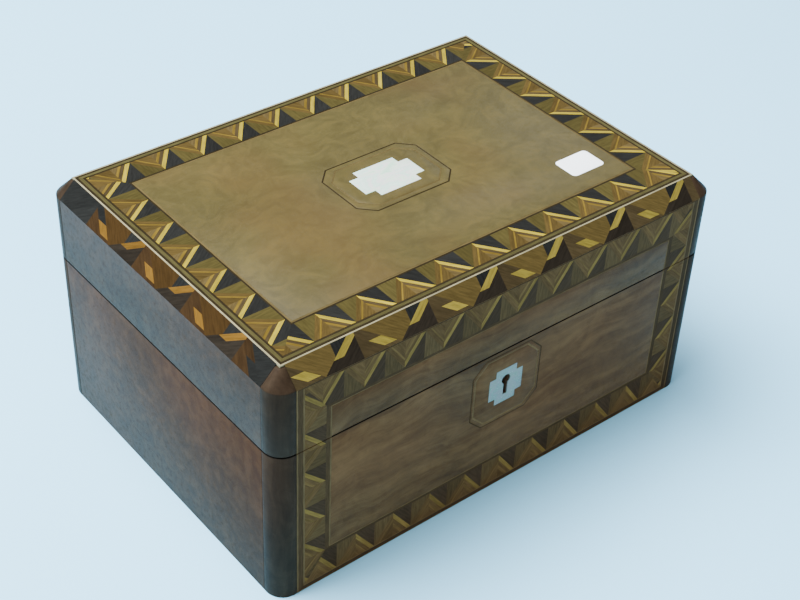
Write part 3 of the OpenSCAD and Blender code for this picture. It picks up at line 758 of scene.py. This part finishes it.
def layFrontLines(name, node, outer, inner, seam, shares):
    # a frame open at the seam, shared out between strings of different woods
    for number, (start, end, kind) in enumerate(shares):
        xOut, xIn = blend(outer[0], inner[0], start), blend(outer[0], inner[0], end)
        zOut, zIn = blend(outer[1], inner[1], start), blend(outer[1], inner[1], end)
        level = [(-xOut, zOut), (xOut, zOut), (xIn, zIn), (-xIn, zIn)]
        sides = [[(hand * xOut, zOut), (hand * xOut, seam), (hand * xIn, seam), (hand * xIn, zIn)]
                 for hand in (-1, 1)]
        bm = sheetOf(level, *sides)
        bmesh.ops.recalc_face_normals(bm, faces=bm.faces[:])
        for face in bm.faces:
            if face.normal.z < 0:
                face.normal_flip()
        place = setIn((0, -halfD, 0), (1, 0, 0), (0, 0, 1), (0, -1, 0))
        layTiles(name + str(number + 1), node, bm, place,
                 lambda x, y: (kind, 0 if abs(x) < xIn * 0.9 else 90))


postShares = ((0, 0.18, "wornPale"), (0.18, 0.82, "wornDark"), (0.82, 1, "wornPale"))
panelShares = ((0, 0.75, "wornDark"), (0.75, 1, "wornPale"))


def layAllFrontLines():
    lines, out, inner, panel = (front[key] for key in ("lines", "bandOut", "bandIn", "panel"))
    baseSeam, lidSeam = front["seamLow"], front["seamHigh"]
    # the bottom run of this frame, along the foot, is a dark string that also stands in for the contact
    # shadow under the front edge: partly stringing, partly painted shade
    layFrontLines("base_post_line", "base_front_stringing", (lines, front["foot"]),
                  (out, front["lowBand"]), baseSeam, postShares)
    layFrontLines("base_panel_line", "base_front_stringing", (inner, front["lowBandTop"]),
                  (panel, front["basePanel"]), baseSeam, panelShares)
    layFrontLines("lid_post_line", "lid_front_stringing", (lines, front["bevel"]),
                  (out, front["highBandTop"]), lidSeam, postShares)
    layFrontLines("lid_panel_line", "lid_front_stringing", (inner, front["highBand"]),
                  (panel, front["lidPanel"]), lidSeam, panelShares)


layTopBands()
layBevelBands()
layFrontBands()
layLines()
layAllFrontLines()
print("inlay laid")

# the lid's tufted silk pad, filled by cloth simulation

pad = {"cell": 3.2, "inset": 1.2, "start": 2.2, "frames": 20, "pressure": 4.0, "cap": 2.1,
       "tuft": 1.1, "tuftReach": 6, "backing": 0.1, "across": 6, "along": 4, "fullness": 0.7}
button = {"radius": 3.6, "sewn": 0.8, "flatness": 0.35, "proud": 0.6, "around": 20, "rings": 10}


def buttonPlaces(low, high):  # every other row stands half a step to one side
    for row in range(1, pad["along"]):
        for column in range(pad["across"] - 1):
            x = (column + (0.5 if row % 2 else 1)) / pad["across"]
            yield Vector((blend(low.x, high.x, x), blend(low.y, high.y, row / pad["along"])))


def makePad():
    low, high = (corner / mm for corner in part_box("lid_lining_pad"))
    size = high - low
    bm = bmesh.new()
    across, along = round(size.x / pad["cell"]), round(size.y / pad["cell"])
    bmesh.ops.create_grid(bm, x_segments=across, y_segments=along, size=0.5)
    bmesh.ops.scale(bm, verts=bm.verts[:], vec=(size.x - 2 * pad["inset"], size.y - 2 * pad["inset"], 1))
    lower = bmesh.ops.extrude_face_region(bm, geom=bm.faces[:], use_keep_orig=True)
    moved = [v for v in lower["geom"] if isinstance(v, bmesh.types.BMVert)]
    bmesh.ops.translate(bm, verts=moved, vec=(0, 0, pad["start"] - size.z))
    bmesh.ops.recalc_face_normals(bm, faces=bm.faces[:])
    centre = (low + high) / 2
    bmesh.ops.translate(bm, verts=bm.verts[:], vec=(centre.x, centre.y, high.z))
    buttons = list(buttonPlaces(low, high))
    for v in bm.verts:
        if v.co.z < high.z - pad["backing"]:
            near = min((v.co.xy - b).length for b in buttons)
            v.co.z += pad["tuft"] * max(0, 1 - near / pad["tuftReach"]) ** 2
    bmesh.ops.scale(bm, verts=bm.verts[:], vec=(mm, mm, mm))
    soft = makeObject("lid_pad", bm, silk)
    held = soft.vertex_groups.new(name="held")
    still = []
    for v in soft.data.vertices:
        place = v.co / mm
        near = min((place.xy - b).length for b in buttons)
        if place.z > high.z - pad["backing"] or near < button["radius"] * button["sewn"]:
            still.append(v.index)
    held.add(still, 1.0, "REPLACE")
    fill(soft)
    for face in soft.data.polygons:
        face.use_smooth = True
    finer = soft.modifiers.new("finer", "SUBSURF")
    finer.levels = finer.render_levels = 1
    settle(soft, "lid_lining_pad")
    sewButtons(buttons, low.z + pad["start"] - pad["tuft"])


def fill(soft):
    start = [v.co.copy() for v in soft.data.vertices]
    cloth = soft.modifiers.new("filling", "CLOTH")
    cloth.settings.quality = 6
    cloth.settings.mass = 0.2
    cloth.settings.vertex_group_mass = "held"
    cloth.settings.use_pressure = True
    cloth.settings.uniform_pressure_force = pad["pressure"]
    cloth.settings.shrink_min = -0.05
    cloth.settings.effector_weights.gravity = 0
    cloth.point_cache.frame_start = 1
    cloth.point_cache.frame_end = pad["frames"]
    scene = bpy.context.scene
    for step in range(1, pad["frames"] + 1):
        scene.frame_set(step)
    shape = bpy.data.meshes.new_from_object(soft.evaluated_get(bpy.context.evaluated_depsgraph_get()))
    scene.frame_set(1)
    soft.modifiers.remove(cloth)
    for v, filled, first in zip(soft.data.vertices, shape.vertices, start):
        step = filled.co - first
        reach = pad["cap"] * mm
        v.co = first + step * (reach / (reach + step.length) if step.length else 1)
    bpy.data.meshes.remove(shape)


def sewButtons(places, height):
    bm = bmesh.new()
    for place in places:
        dome = bmesh.ops.create_uvsphere(bm, u_segments=button["around"], v_segments=button["rings"],
                                         radius=button["radius"])
        bmesh.ops.scale(bm, verts=dome["verts"], vec=(1, 1, button["flatness"]))
        bmesh.ops.translate(bm, verts=dome["verts"], vec=(*place, height + button["proud"]))
    bmesh.ops.scale(bm, verts=bm.verts[:], vec=(mm, mm, mm))
    for face in bm.faces:
        face.smooth = True
    buttons = makeObject("lid_pad_buttons", bm, silk)
    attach(buttons, "lid")


makePad()
print("lining padded")
